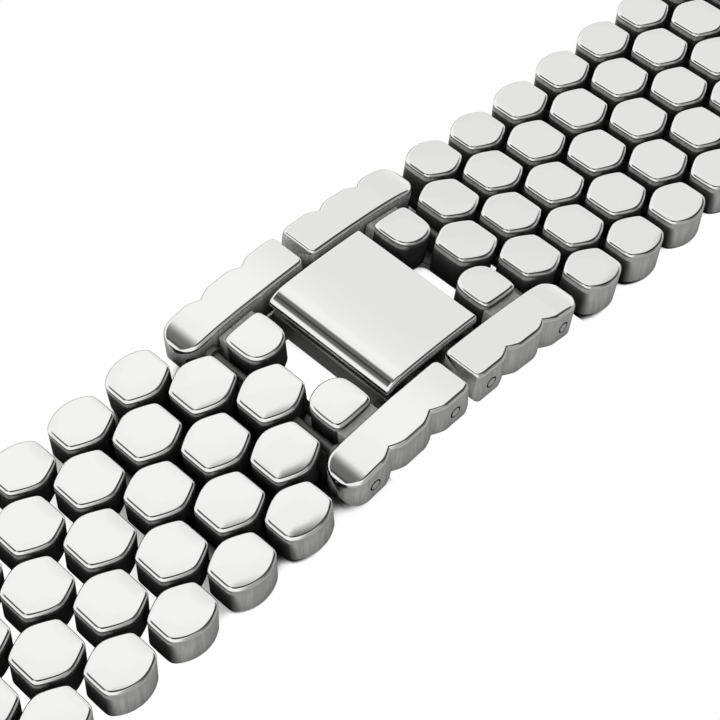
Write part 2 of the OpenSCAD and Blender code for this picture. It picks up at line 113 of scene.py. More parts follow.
# %% Sizes and pin places
LINK_L, LINK_W, LINK_T = 4.75, 4.9, 3.3
PITCH, STRINGS = 2.95, 4.5
FLANK_TURN = math.radians(27)
FLANK_GAP = 0.45
TIP_R, OUTER_R, OUTER_W = 3.55, 3.3, 2.0
PIN_R, RAIL_PIN_R, HEAD_R = 0.45, 0.4, 0.55
PIN_HALF, CENTRE_PIN_HALF = 2 * STRINGS + 0.7, 8.4
CLASP_R = 75.0
CENTRE_X = 11.1
RAIL_IN, BAND_HALF = 7.1, 11.0
RAIL_PIN_X, RAIL_PIN_DEPTH = (2.1, 11.0), 1.85
SIDES = {"left": -1, "right": 1}
FIRST, LAST = 2, 20
flank_d = (PITCH * math.sin(FLANK_TURN) + STRINGS * math.cos(FLANK_TURN) - FLANK_GAP) / 2


def pin_place(side, number):
    """Distance from the clasp and height, in millimetres, of a row's pin on the clasp's side."""
    x, _, z = joints[f"{side}_hinge_{number:02d}"]["pos_m"]
    return np.array([abs(x), z]) * 1000


fold_z = joints["frame_fold"]["pos_m"][2] * 1000
arc_z = fold_z - math.sqrt((CLASP_R - RAIL_PIN_DEPTH) ** 2 - RAIL_PIN_X[0] ** 2)
print("the clasp's curve has its centre at z =", round(arc_z, 2), "mm")

# %% [markdown]
# Every new piece is a closed skin made of rings of points, as a potter coils a pot: each ring joins
# the next with four-sided faces, and a fan closes each end. If the volume comes out negative the
# faces look inwards, so they are turned round. Each point also carries a number for its polish and
# its painted shade, which the steel reads later.

# %% Skins from rings
def skin(rings, polish_and_shade=1.0):
    """Points, quads, fans and polish of a closed skin, from rings shaped (rings, points, 3).
    Polish is one number, or one for each ring, or one for each point.
    The volume is the sum over the faces of the corners' triple product, over six."""
    rings = np.asarray(rings, float)
    count, around = rings.shape[:2]
    ring, step = np.meshgrid(np.arange(count - 1), np.arange(around), indexing="ij")
    here, there = ring * around + step, ring * around + (step + 1) % around
    quads = np.stack([here, here + around, there + around, there], -1).reshape(-1, 4)
    points = np.vstack([rings.reshape(-1, 3), rings[0].mean(0), rings[-1].mean(0)])
    edge = np.arange(around)
    after = (edge + 1) % around
    base = (count - 1) * around
    fans = np.vstack([
        np.stack([np.full(around, count * around), edge, after], -1),
        np.stack([np.full(around, count * around + 1), base + after, base + edge], -1),
    ])
    corner = points[np.vstack([fans, quads[:, [0, 1, 2]], quads[:, [0, 2, 3]]])]
    triple = np.einsum("ij,ij->i", corner[:, 0], np.cross(corner[:, 1], corner[:, 2]))
    volume = triple.sum() / 6
    if volume < 0:
        quads, fans = quads[:, ::-1], fans[:, ::-1]
    polish_and_shade = np.asarray(polish_and_shade, float)
    if polish_and_shade.ndim == 1:
        polish_and_shade = polish_and_shade[:, None]
    polish_and_shade = np.broadcast_to(polish_and_shade, (count, around))
    finish_and_shade = np.concatenate([polish_and_shade.ravel(), polish_and_shade[[0, -1]].mean(1)])
    return points, quads, fans, finish_and_shade


prism = skin([[[0, 0, z], [1, 0, z], [0, 1, z]] for z in (0, 1)])
print("a test prism has", len(prism[1]), "side faces and", len(prism[2]), "end triangles")

# %% Pieces from skins
def piece(name, skins, metal, nodes):
    """Joins skins in millimetres into one object in metres that stands for its CAD nodes."""
    points, faces, shines, shift = [], [], [], 0
    for part_points, quads, fans, finish_and_shade in skins:
        points.append(part_points / 1000)
        shines.append(finish_and_shade)
        faces += (quads + shift).tolist() + (fans + shift).tolist()
        shift += len(part_points)
    mesh = bpy.data.meshes.new(name)
    mesh.from_pydata(np.vstack(points).tolist(), [], faces)
    mesh.shade_smooth()
    carried = mesh.attributes.new("polish_and_shade", "FLOAT", "POINT")
    carried.data.foreach_set("value", np.concatenate(shines))
    mesh.materials.append(metal)
    made = bpy.data.objects.new(name, mesh)
    bpy.context.scene.collection.objects.link(made)
    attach(made, frame["nodes"][nodes[0]]["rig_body"])
    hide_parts(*nodes)
    return made


# %% [markdown]
# Real polished parts have no sharp edges. A profile is drawn as a few corner points,
# and every corner is replaced by a small arc. A pair of extra points close to each
# arc keeps the flats truly flat when the surface is shaded smoothly.

# %% Rounded profiles
def rounded(points, radii, steps=4, closed=False, hold=0.03):
    """Replaces each corner by an arc that touches both its lines.
    The arc starts at radius times tan(half the turn) from the corner, and its
    centre lies on the corner's bisector at radius over cos(half the turn).
    Hold is how far past the arc the extra points stand."""
    points = [np.array(p, float) for p in points]
    out = []
    for i, corner in enumerate(points):
        if not closed and i in (0, len(points) - 1) or radii[i] == 0:
            out.append(corner)
            continue
        before = points[i - 1] - corner
        after = points[(i + 1) % len(points)] - corner
        before, after = before / np.linalg.norm(before), after / np.linalg.norm(after)
        full = math.pi - math.acos(np.clip(before @ after, -1, 1))
        reach = radii[i] * math.tan(full / 2)
        bisector = (before + after) / np.linalg.norm(before + after)
        centre = corner + bisector * radii[i] / math.cos(full / 2)
        start, end = corner + before * reach - centre, corner + after * reach - centre
        sweep = np.linspace(0, 1, steps + 1)[:, None]
        arc = (np.sin((1 - sweep) * full) * start + np.sin(sweep * full) * end) / math.sin(full)
        out.append(corner + before * (reach + hold))
        out += list(centre + arc)
        out.append(corner + after * (reach + hold))
    return np.array(out)


print("a test corner has", len(rounded([[0, 0], [1, 0], [1, 1]], [0, 0.2, 0])), "points")

# %% [markdown]
# A link seen from above has six straight sides and two rounded tips. For every
# direction from its middle, the nearest side or tip sets how far the face reaches,
# and a power mean instead of a plain minimum rounds the corners where two meet.

# %% The outline of a link
RIGHT_ANGLE = math.pi / 2
GRAZING, FAR_AWAY = 0.02, 1e3


def reach_of(angles, sides, tips, inset, sharp=15):
    """Distance from a link's middle to its edge in each direction.
    A straight side at distance d with its normal at angle n is d / cos(angle - n) away,
    and one that is seen grazing or from behind counts as far away.
    A round side of radius r, centred c up the Y axis, is
    c sin(angle) + sqrt(r^2 - c^2 cos(angle)^2) away."""
    far = []
    for distance, normal in sides:
        lean = np.cos(angles - normal)
        straight = (distance - inset) / np.maximum(lean, GRAZING)
        far.append(np.where(lean > GRAZING, straight, FAR_AWAY))
    for centre, radius in tips:
        across = centre * np.cos(angles)
        far.append(centre * np.sin(angles) + np.sqrt((radius - inset) ** 2 - across**2))
    return np.sum(np.array(far) ** -float(sharp), axis=0) ** (-1 / sharp)


def spread(sides, tips, count):
    """Directions for a ring's points, closer together where the outline bends.
    They are spaced by equal shares of length plus 1.3 times the share of the turn,
    measured at every quarter of a degree."""
    dense = np.linspace(0, 2 * math.pi, 4 * 360 + 1)
    reach = reach_of(dense, sides, tips, 0.0)
    line = np.stack([reach * np.cos(dense), reach * np.sin(dense)], -1)
    step = np.diff(line, axis=0)
    heading = np.unwrap(np.arctan2(step[:, 1], step[:, 0]))
    bend = np.abs(np.diff(heading, append=heading[0] + 2 * math.pi))
    length = np.linalg.norm(step, axis=1)
    travel = np.concatenate([[0], np.cumsum(length / length.sum() + 1.3 * bend / bend.sum())])
    return np.interp(np.linspace(0, travel[-1], count, endpoint=False), travel, dense)


lone = reach_of(np.zeros(1), [(2, 0.0)], [], 0.0)[0]
print("a lone side 2 mm away is reached after", round(lone, 3), "mm")

# %% A link's sides and tips
def link_sides(outward=0):
    """The straight sides and round tips of a link.
    Outward is 1 or -1 where its side towards positive or negative Y is the band's edge."""
    sides = [(LINK_L / 2, 0.0), (LINK_L / 2, math.pi)]
    if outward <= 0:
        sides += [(flank_d, RIGHT_ANGLE - FLANK_TURN), (flank_d, RIGHT_ANGLE + FLANK_TURN)]
    if outward >= 0:
        sides += [(flank_d, FLANK_TURN - RIGHT_ANGLE), (flank_d, -RIGHT_ANGLE - FLANK_TURN)]
    tip, edge = (LINK_W / 2 - TIP_R, TIP_R), (OUTER_W - OUTER_R, OUTER_R)
    high = tip if outward <= 0 else edge
    low = tip if outward >= 0 else edge
    return sides, [high, (-low[0], low[1])]


print("flanks lie", round(flank_d, 3), "mm from a link's middle")

# %% [markdown]
# From the side a link has a polished face that is a little crowned, a soft edge, a
# narrow bevel, a straight wall and a narrow bevel below. The outline shrinks by the
# profile's inset as it climbs over the bevel.
#
# The number for polish and shade says how the steel was worked and where shade is painted: 1 is a
# mirror, 0 is a ground wall, and below 0 the colour is darkened as painted shade, down to nearly
# black at -1 on the walls deep in the gaps. The wheel also reaches the side that faces out of the
# band, and as it comes from the strap's left it brightens the upper part of the walls on that side.
# Extra rings of points on the wall carry these changes, because the number is only known where
# there is a point.

# %% The body of a link
TOP_BEVEL, FOOT_BEVEL, CROWN = 0.15, 0.12, 0.075
RIM_R, BEVEL_R, FOOT_R, FOOT_INSET = 0.36, 0.06, 0.05, 1.1
LINK_POINTS = 60
# Insets from the edge, and the share of the crown that the face has sunk there.
CROWN_LINE = ((1.6, 0.0), (1.2, 0.1), (0.8, 0.3), (0.42, 0.7))
WALL_RINGS = (0.08, 0.13, 0.19, 0.42, 0.62, 1.1, 1.6)
# Depths below the bevel, and the polish at each of them.
# Below 0 the number is painted shade: the walls darken to nearly black down into the gaps, the
# walls that face the strap's left get a painted dark line just under the bevel, and the outer walls
# darken towards the foot.
DARK_WALL = ([0.0, 0.08, 0.6, 1.5, 2.2], [1.0, -0.7, -0.92, -0.85, -1.0])
LEFT_WALL = (
    [0.0, 0.05, 0.08, 0.13, 0.19, 0.42, 0.65, 2.2],
    [1.0, 0.6, -0.7, -0.7, 0.2, 0.15, -0.8, -1.0],
)
OUTER_WALL = ([0.0, 0.15, 1.1, 2.6], [1.0, 0.35, 0.1, -0.25])
# Cosines at which these two walls begin, and the step over which they take over.
LEFT_FROM, OUTER_FROM, TAKE_OVER = 0.55, 0.35, 0.25


def link_profile():
    """Pairs of inset and height, from the face over the edge and down to the foot.
    The face is a shallow crown, which sinks by a growing share of CROWN towards its edge."""
    high, low, edge = LINK_T / 2, -LINK_T / 2, LINK_T / 2 - CROWN
    corners = [(inset, high - share * CROWN) for inset, share in CROWN_LINE]
    corners += [(TOP_BEVEL, edge), (0, edge - TOP_BEVEL)]
    corners += [(0, edge - TOP_BEVEL - depth) for depth in WALL_RINGS]
    corners += [(0, low + FOOT_BEVEL), (FOOT_BEVEL, low), (FOOT_INSET, low)]
    radii = [0] * len(CROWN_LINE) + [RIM_R, BEVEL_R]
    radii += [0] * len(WALL_RINGS) + [FOOT_R, FOOT_R, 0]
    return rounded(corners, radii, steps=5, hold=0.01)


def wall_polish(angles, below, outward, sign):
    """Polish for each depth below the bevel (down a column) in each direction (along a row).
    A wall's own polish takes over from the dark one where the cosine of the angle
    between the direction and that side passes a limit."""
    polish_and_shade = np.interp(below, *DARK_WALL)
    for facing, wall in (
        (-sign * np.cos(angles) - LEFT_FROM, LEFT_WALL),
        (outward * np.sin(angles) - OUTER_FROM, OUTER_WALL),
    ):
        share = np.clip(facing / TAKE_OVER, 0, 1)
        polish_and_shade = polish_and_shade + (np.interp(below, *wall) - polish_and_shade) * share
    return polish_and_shade


print("a link's profile has", len(link_profile()), "points")

# %% A link's skin and its place
def link_skin(middle, sides, tips, place, sharp=20, outward=0, sign=1):
    """A link's skin: ring by ring, reach_of at the profile's inset, at the profile's height.
    Outward is the side towards the band's edge, and sign is -1 in the left half."""
    angles = spread(sides, tips, LINK_POINTS)
    profile = link_profile()
    rings = []
    for inset, height in profile:
        reach = reach_of(angles, sides, tips, inset, sharp)
        x, y = reach * np.cos(angles), middle + reach * np.sin(angles)
        rings.append(np.stack([x, y, np.full(len(x), height)], -1))
    below = (LINK_T / 2 - TOP_BEVEL - CROWN - profile[:, 1])[:, None]
    return skin(place(np.array(rings)), wall_polish(angles, below, outward, sign))


def seat(side, at, slope):
    """Moves points from a row's own frame to its place.
    They are tilted by the slope and shifted, and mirrored for the left half."""
    sign = SIDES[side]
    c, s = math.cos(slope), math.sin(slope)

    def place(points):
        x, y, z = points[..., 0], points[..., 1], points[..., 2]
        return np.stack([sign * (at[0] + x * c + z * s), y, at[1] - x * s + z * c], -1)

    return place


lone = link_skin(0, *link_sides(), seat("right", (0, 0), 0.0))
print("a link's skin has", len(lone[0]), "points")

# %% [markdown]
# A pin is a straight rod with softly broken ends: a profile of distance along the
# pin and radius, turned once round the pin's own line.

# %% Pins
def turned(profile, x, z, count):
    """Rings of a turned piece along Y: each is a circle of the profile's radius at its Y."""
    angles = np.linspace(0, 2 * math.pi, count, endpoint=False)
    along, wide = profile[:, 0][:, None], profile[:, 1][:, None]
    return np.stack([x + wide * np.cos(angles), along + 0 * angles, z + wide * np.sin(angles)], -1)


def rod_skin(x, z, radius, low, high, place, count=20, edge=0.08):
    """A rod from one Y to another, with its two edges rounded."""
    core = 0.3 * radius
    corners = [(low, core), (low, radius), (high, radius), (high, core)]
    profile = rounded(corners, [0, edge, edge, 0], steps=2)
    # At -1 the whole rod is darkened to nearly black: painted shade for pins and knuckles that sit
    # in shade.
    return skin(place(turned(profile, x, z, count)), -1.0)


print("a hinge pin is", 2 * PIN_HALF, "mm long and", 2 * PIN_R, "mm thick")

# %% [markdown]
# Steel is never perfectly even. A faint haze changes the gloss from place to place, and fine
# polishing lines tilt the surface a little. Ground walls are rough, with streaks that run up and
# down them, and they scatter light as stone does, so there the metallic value drops to 0. Below a
# polish of 0 the colour is darkened as painted shade, to nearly black deep in the gaps. All metals
# use the same node group with their own values; the shader itself stays in the material.

# %% Small helpers for nodes
HAZE_SCALE, LINE_SCALE, STREAK_SCALE = (320, 320, 320), (900, 9000, 9000), (3200, 3200, 260)


def feed(tree, socket, value):
    """Sets a socket to a number, or links another node's output to it."""
    if isinstance(value, float):
        socket.default_value = value
    else:
        tree.links.new(value, socket)


def ramp(tree, value, start, end, low, high):
    """Carries a value from one range to another; all four ends may be numbers or outputs."""
    made = tree.nodes.new("ShaderNodeMapRange")
    for key, setting in (
        ("Value", value), ("From Min", start), ("From Max", end), ("To Min", low), ("To Max", high),
    ):
        feed(tree, made.inputs[key], setting)
    return made.outputs["Result"]


def combine(tree, operation, *values, clamp=False):
    """One step of arithmetic on numbers or outputs."""
    made = tree.nodes.new("ShaderNodeMath")
    made.operation, made.use_clamp = operation, clamp
    for socket, value in zip(made.inputs, values):
        feed(tree, socket, value)
    return made.outputs["Value"]


def streak_noise(tree, place, scale, detail):
    """Noise that is stretched: a small scale along an axis draws the pattern out along it."""
    stretch = tree.nodes.new("ShaderNodeMapping")
    stretch.inputs["Scale"].default_value = scale
    noise = tree.nodes.new("ShaderNodeTexNoise")
    for key, value in (("Scale", 1.0), ("Detail", detail), ("Roughness", 0.6)):
        noise.inputs[key].default_value = value
    tree.links.new(place.outputs["Object"], stretch.inputs["Vector"])
    tree.links.new(stretch.outputs["Vector"], noise.inputs["Vector"])
    return noise.outputs["Fac"]


drawn = STREAK_SCALE[0] / STREAK_SCALE[2]
print("streaks are drawn out", round(drawn, 1), "times down the walls")

# %% The polish group
NOISE_LOW, NOISE_HIGH = 0.35, 0.65
GROUND_ROUGH, GROUND_TONE = (0.7, 0.95), (0.55, 0.75)
MIRROR_FROM, MIRROR_FULL = 0.12, 0.3
# Below a polish of 0 the colour is painted shade: it sinks to the third number's share of itself at
# -1, and between the first two numbers the metallic value comes back to 1.
SHADE_METAL_FULL, SHADE_METAL_NONE, PAINTED_SHADE_TONE = -0.5, -0.1, 0.06
number, colour, arrow = "NodeSocketFloat", "NodeSocketColor", "NodeSocketVector"


def polish_group():
    """Colour, metallic, roughness and normal of worked steel from its degree of polish; below 0 its
    colour is darkened as painted shade.
    """
    group = bpy.data.node_groups.new("worked_steel_and_shade", "ShaderNodeTree")
    for name, kind, value in (
        ("Colour", colour, (0.8, 0.8, 0.8, 1)), ("Haze", number, 0.05), ("Gloss", number, 0.08),
        ("Lines", number, 0.05), ("Polish", number, 1.0),
    ):
        made = group.interface.new_socket(name, in_out="INPUT", socket_type=kind)
        made.default_value = value
    for name, kind in (
        ("Colour", colour), ("Metallic", number), ("Roughness", number), ("Normal", arrow),
    ):
        group.interface.new_socket(name, in_out="OUTPUT", socket_type=kind)
    inside, outside = group.nodes.new("NodeGroupInput"), group.nodes.new("NodeGroupOutput")
    place = group.nodes.new("ShaderNodeTexCoord")
    haze = streak_noise(group, place, HAZE_SCALE, 3.0)
    lines = streak_noise(group, place, LINE_SCALE, 2.0)
    streaks = streak_noise(group, place, STREAK_SCALE, 2.0)
    polish_and_shade = inside.outputs["Polish"]

    mirror_rough = combine(
        group, "MULTIPLY_ADD", haze, inside.outputs["Haze"], inside.outputs["Gloss"]
    )
    ground_rough = ramp(group, streaks, NOISE_LOW, NOISE_HIGH, *GROUND_ROUGH)
    rough = ramp(group, polish_and_shade, 0.0, 1.0, ground_rough, mirror_rough)
    group.links.new(rough, outside.inputs["Roughness"])

    mirror = ramp(group, polish_and_shade, MIRROR_FROM, MIRROR_FULL, 0.0, 1.0)
    shade_metallic = ramp(group, polish_and_shade, SHADE_METAL_FULL, SHADE_METAL_NONE, 1.0, 0.0)
    group.links.new(combine(group, "MAXIMUM", mirror, shade_metallic), outside.inputs["Metallic"])

    ground_tone = ramp(group, streaks, NOISE_LOW, NOISE_HIGH, *GROUND_TONE)
    bright = ramp(group, polish_and_shade, 0.0, 1.0, ground_tone, 1.0)
    # Painted shade: the colour darkens as the number falls below 0.
    dark = ramp(group, polish_and_shade, -1.0, 0.0, PAINTED_SHADE_TONE, 1.0)
    tone = group.nodes.new("ShaderNodeVectorMath")
    tone.operation = "SCALE"
    group.links.new(inside.outputs["Colour"], tone.inputs[0])
    group.links.new(combine(group, "MULTIPLY", bright, dark), tone.inputs["Scale"])
    group.links.new(tone.outputs["Vector"], outside.inputs["Colour"])

    bump = group.nodes.new("ShaderNodeBump")
    bump.inputs["Distance"].default_value = 0.00001
    group.links.new(inside.outputs["Lines"], bump.inputs["Strength"])
    group.links.new(lines, bump.inputs["Height"])
    group.links.new(bump.outputs["Normal"], outside.inputs["Normal"])
    return group


worked_steel_and_shade = polish_group()
print("group:", worked_steel_and_shade.name, "with", len(worked_steel_and_shade.nodes), "nodes")

# %% [markdown]
# Four metals come from the one group. The links and the lid read their polish from
# each point. The plates, the loose pins and the end links have one degree of polish
# all over, so theirs is a plain number, and full metallic is set on their own shader.

# %% The metals
def steel(name, colour, gloss, haze, lines, polish_and_shade=None):
    """A metal that takes its colour, roughness and normal from worked_steel_and_shade.
    Without a degree of polish of its own it reads the one that each point carries, and
    its metallic follows that too."""
    made = bpy.data.materials.new(name)
    made.use_nodes = True
    tree = made.node_tree
    shader = tree.nodes["Principled BSDF"]
    surface = tree.nodes.new("ShaderNodeGroup")
    surface.node_tree = worked_steel_and_shade
    surface.inputs["Colour"].default_value = (*colour, 1)
    surface.inputs["Gloss"].default_value = gloss
    surface.inputs["Haze"].default_value = haze
    surface.inputs["Lines"].default_value = lines
    if polish_and_shade is None:
        mask = tree.nodes.new("ShaderNodeAttribute")
        mask.attribute_name = "polish_and_shade"
        tree.links.new(mask.outputs["Fac"], surface.inputs["Polish"])
        tree.links.new(surface.outputs["Metallic"], shader.inputs["Metallic"])
    else:
        surface.inputs["Polish"].default_value = polish_and_shade
        shader.inputs["Metallic"].default_value = 1.0
    tree.links.new(surface.outputs["Colour"], shader.inputs["Base Color"])
    for key in ("Roughness", "Normal"):
        tree.links.new(surface.outputs[key], shader.inputs[key])
    return made


mirror_steel = steel("mirror_polished_steel", (0.9, 0.9, 0.893), 0.05, 0.05, 0.03)
cast_steel = steel("polished_casting_steel", (0.86, 0.855, 0.845), 0.1, 0.06, 0.05, polish_and_shade=0.9)
plate_steel = steel("rolled_plate_steel", (0.34, 0.34, 0.335), 0.22, 0.15, 0.12, polish_and_shade=0.6)
# The loose pins' colour is set dark: painted shade for pins that sit in shade.
pin_steel_painted_shade = steel("drawn_pin_steel", (0.3, 0.3, 0.29), 0.3, 0.08, 0.1, polish_and_shade=0.5)
print("metals:", mirror_steel.name, cast_steel.name, plate_steel.name, pin_steel_painted_shade.name)

# %% [markdown]
# Each row of the band is two or three links pushed onto one pin. The pin nearer the
# strap's end belongs to the row; the other one turns in its bores. Rows alternate,
# so the tips of one row stand between the tips of the next.

# %% The rows of the band
def row_skins(number, place, sign):
    """The links of a row and the pin at its outer end, in the row's own frame."""
    made = []
    for string in ((-1, 1) if number % 2 == 0 else (-2, 0, 2)):
        outward = int(string / 2) if abs(string) == 2 else 0
        sides, tips = link_sides(outward)
        made.append(
            link_skin(string * STRINGS, sides, tips, place, outward=outward, sign=sign)
        )
    made.append(rod_skin(PITCH / 2, 0, PIN_R, -PIN_HALF, PIN_HALF, place))
    return made


for side, sign in SIDES.items():
    for row in range(FIRST, LAST + 1):
        start, end = pin_place(side, row), pin_place(side, row + 1)
        slope = math.atan2(start[1] - end[1], end[0] - start[0])
        place = seat(side, (start + end) / 2, slope)
        node = f"{side}_row_{row:02d}"
        piece(f"{node}_links", row_skins(row, place, sign), mirror_steel, [node])
print("rows:", 2 * (LAST - FIRST + 1))

# %% [markdown]
# The clasp's long pieces follow the curve over the wrist. They are lofted along X: at
# every station the cross section is a rounded box between two side lines and two
# depths, and depth is measured from the clasp's top curve.

# %% Lofted pieces
def curve_z(x, depth):
    """Height of the clasp's curve at a distance x from its middle, at a depth below its top."""
    return arc_z + np.sqrt((CLASP_R - depth) ** 2 - x**2)


def loft_skin(
    places, near, far, top, foot, top_edge, foot_edge,
    sign=1, steps=3, top_points=5, centre=0.0, polish_and_shade=None,
):
    """A skin of cross sections, one for each place along X.
    Each section is a box between the place's side lines and depths, with its corners
    replaced by quarter circles of at most 0.49 of its smaller side. The sections stand
    square to the curve's slope at the centre x, so a turn by that slope carries them to
    where they belong."""
    slope = math.asin(centre / CLASP_R)
    pivot = curve_z(centre, 0)
    loops, finish_and_shade = [], []
    for x, y0, y1, d0, d1 in zip(places, near, far, top, foot):
        limit = 0.49 * min(y1 - y0, d1 - d0)
        te, fe = min(top_edge, limit), min(foot_edge, limit)
        ridge = np.linspace(y0 + te + 0.06, y1 - te - 0.06, top_points)
        corners = [(y, d0) for y in ridge]
        corners += [(y1, d0), (y1, d1), ((y0 + y1) / 2, d1), (y0, d1), (y0, d0)]
        radii = [0] * top_points + [te, fe, 0, fe, te]
        view = rounded(corners, radii, steps=steps, closed=True, hold=0.02)
        along = x - centre
        height = np.sqrt((CLASP_R - view[:, 1]) ** 2 - along**2) - CLASP_R
        across = along * math.cos(slope) + height * math.sin(slope)
        up = height * math.cos(slope) - along * math.sin(slope)
        loops.append(np.stack([sign * (centre + across), view[:, 0], pivot + up], -1))
        finish_and_shade.append(polish_and_shade(view[:, 0], view[:, 1] - d0) if polish_and_shade else np.ones(len(view)))
    return skin(np.array(loops), np.array(finish_and_shade))


print("the curve's top is", round(float(curve_z(0, 0)), 2), "mm above the table")

# %% Ends and places of a loft
def quarter(room, radius):
    """How far a quarter circle has drawn an edge in, at a distance called room from its end."""
    room = np.clip(room, 0, radius)
    return radius - np.sqrt(radius**2 - (radius - room) ** 2)


def stations(start, end, start_r, end_r, count, marks=()):
    """Places along X, crowded where a quarter circle rounds either end and round each mark."""
    turn = np.linspace(0, RIGHT_ANGLE, 9)
    groups = [start + start_r * (1 - np.cos(turn)), end - end_r * (1 - np.cos(turn))]
    groups += [mark + np.array([-0.25, -0.12, -0.05, 0.0, 0.05, 0.12, 0.25]) for mark in marks]
    groups.append(np.linspace(start + start_r, end - end_r, count))
    return np.unique(np.round(np.concatenate(groups), 4))


print("a loft of 10 mm may have", len(stations(0, 10, 1, 1, 20)), "places")

# %% [markdown]
# Two rails at each edge of the clasp stand in for the outer links. Their outer side has three
# scallops with the same rhythm as the band, the outer end is rounded in plan and rolls down in side
# view, and the inner end is nearly square. Two cross pins are riveted into each rail, and only a
# fine seam, darkened as painted shade, shows where their ends are.

# %% The rails' lines
RAIL_START, RAIL_END = 0.5, CENTRE_X + LINK_L / 2
RAIL_MID = (RAIL_START + RAIL_END) / 2
SCALLOP_L, SCALLOP_R = 4.5, 4.2
END_R, END_TRIM, NOSE_L, NOSE_DROP, HEEL_R = 1.6, 0.14, 4.6, 0.36, 0.9
NOSE_TOP_R, START_FAR_R, START_NEAR_R, START_TOP_R = 0.3, 0.12, 0.5, 0.18
RAIL_TOP_EDGE, RAIL_FOOT_EDGE = 0.34, 0.1
# Depths below the top, and the polish at each of them.
# Below 0 the number paints shade: the outer wall darkens a little towards its foot, and the inner
# wall darkens with depth.
RAIL_OUTER = ([0.2, 0.35, 1.4, 3.0], [1.0, 0.3, 0.1, -0.25])
RAIL_INNER = ([0.2, 0.35, 0.9], [1.0, 0.0, -0.8])


def rail_lines(x):
    """The rail's two side lines and two depths at distances x from the clasp's middle.
    The scalloped side is the arc of its scallop, cut by the quarter circle of the end.
    The top sinks over the nose with the third power of the way along it."""
    room_end, room_start = RAIL_END - x, x - RAIL_START
    crest = RAIL_END - (np.floor(np.maximum(room_end, 0) / SCALLOP_L) + 0.5) * SCALLOP_L
    far = BAND_HALF - SCALLOP_R + np.sqrt(SCALLOP_R**2 - (x - crest) ** 2)
    far = np.minimum(far, BAND_HALF - END_TRIM - quarter(room_end, END_R))
    far = far - quarter(room_start, START_FAR_R)
    near = RAIL_IN + quarter(room_end, END_R) + quarter(room_start, START_NEAR_R)
    top = NOSE_DROP * (np.clip(NOSE_L - room_end, 0, NOSE_L) / NOSE_L) ** 3
    top = top + quarter(room_start, START_TOP_R) + quarter(room_end, NOSE_TOP_R)
    foot = LINK_T - quarter(room_end, HEEL_R) - quarter(room_start, HEEL_R)
    return near, far, top, foot


def rail_polish(y, below):
    """Mirror on top, ground on the outer wall with painted shade towards its foot, and painted
    shade growing with depth on the inner wall.
    """
    outer, inner = np.interp(below, *RAIL_OUTER), np.interp(below, *RAIL_INNER)
    return np.where(np.abs(y) > (RAIL_IN + BAND_HALF) / 2, outer, inner)


print("rails are", round(RAIL_END - RAIL_START, 2), "mm long")

# %% The rivets and the four rails
# The rings of a rivet's end: distance past the rail's wall, radius and polish.
# At -1 the rivet's sunk sides and the seam round its head are darkened as painted shade.
RIVET = (
    (-0.3, 0.2, -1.0), (-0.3, HEAD_R, -1.0), (0.005, HEAD_R, -1.0),
    (0.02, HEAD_R - 0.13, -1.0), (0.02, HEAD_R - 0.17, 0.4), (0.02, 0.2, 0.4),
)


def rivet_skin(x, outward, sign):
    """The end of a cross pin, riveted into a rail: a low disc with a seam round it, darkened as
    painted shade.
    """
    wall = rail_lines(np.array([x]))[1][0]
    profile = np.array([(outward * (wall + past), wide) for past, wide, _ in RIVET])
    rings = turned(profile, sign * x, curve_z(x, RAIL_PIN_DEPTH), 28)
    return skin(rings, [polish_and_shade for _, _, polish_and_shade in RIVET])


valleys = [RAIL_END - SCALLOP_L, RAIL_END - 2 * SCALLOP_L]
rail_x = stations(RAIL_START, RAIL_END, HEEL_R, END_R, 44, valleys)
for side, sign in SIDES.items():
    for edge, outward in (("near", -1), ("far", 1)):
        near, far, top, foot = rail_lines(rail_x)
        if outward < 0:
            near, far = -far, -near
        rail = loft_skin(
            rail_x, near, far, top, foot, RAIL_TOP_EDGE, RAIL_FOOT_EDGE,
            sign, steps=5, centre=RAIL_MID, polish_and_shade=rail_polish,
        )
        rivets = [rivet_skin(x, outward, sign) for x in RAIL_PIN_X]
        node = f"{side}_{edge}_rail"
        piece(f"{node}_body", [rail] + rivets, mirror_steel, [node])
print("rails have", len(rail_x), "stations")

# %% [markdown]
# The small links fill the space between the rails. Their side towards the strap's
# middle line is round, the side towards the rail is straight with a lower ledge.
# The centre link behind them is an ordinary link.

# %% The small links' outline and ledge
SMALL_X, SMALL_Y, SMALL_L, SMALL_W, SMALL_R = 8.3, 4.3, 4.0, 4.0, 2.6
LEDGE_W, LEDGE_DROP, LEDGE_ROOT, LEDGE_LIFT, LEDGE_SHORT = 0.65, 0.7, 0.4, 0.05, 0.2
LEDGE_EDGE, LEDGE_ROOT_EDGE, LEDGE_CAP = 0.12, 0.05, 0.6


def clasp_seat(side, x):
    """The place of a link that is held between the rails, tilted with the clasp's curve."""
    slope = math.asin(x / (CLASP_R - LINK_T / 2))
    return seat(side, np.array([x, curve_z(x, LINK_T / 2)]), slope)


def small_sides(outward):
    """The sides of a small link whose ledge looks outward, to positive or negative Y."""
    sides = [(SMALL_L / 2, 0.0), (SMALL_L / 2, math.pi), (SMALL_W / 2, outward * RIGHT_ANGLE)]
    return sides, [(outward * (SMALL_R - SMALL_W / 2), SMALL_R)]


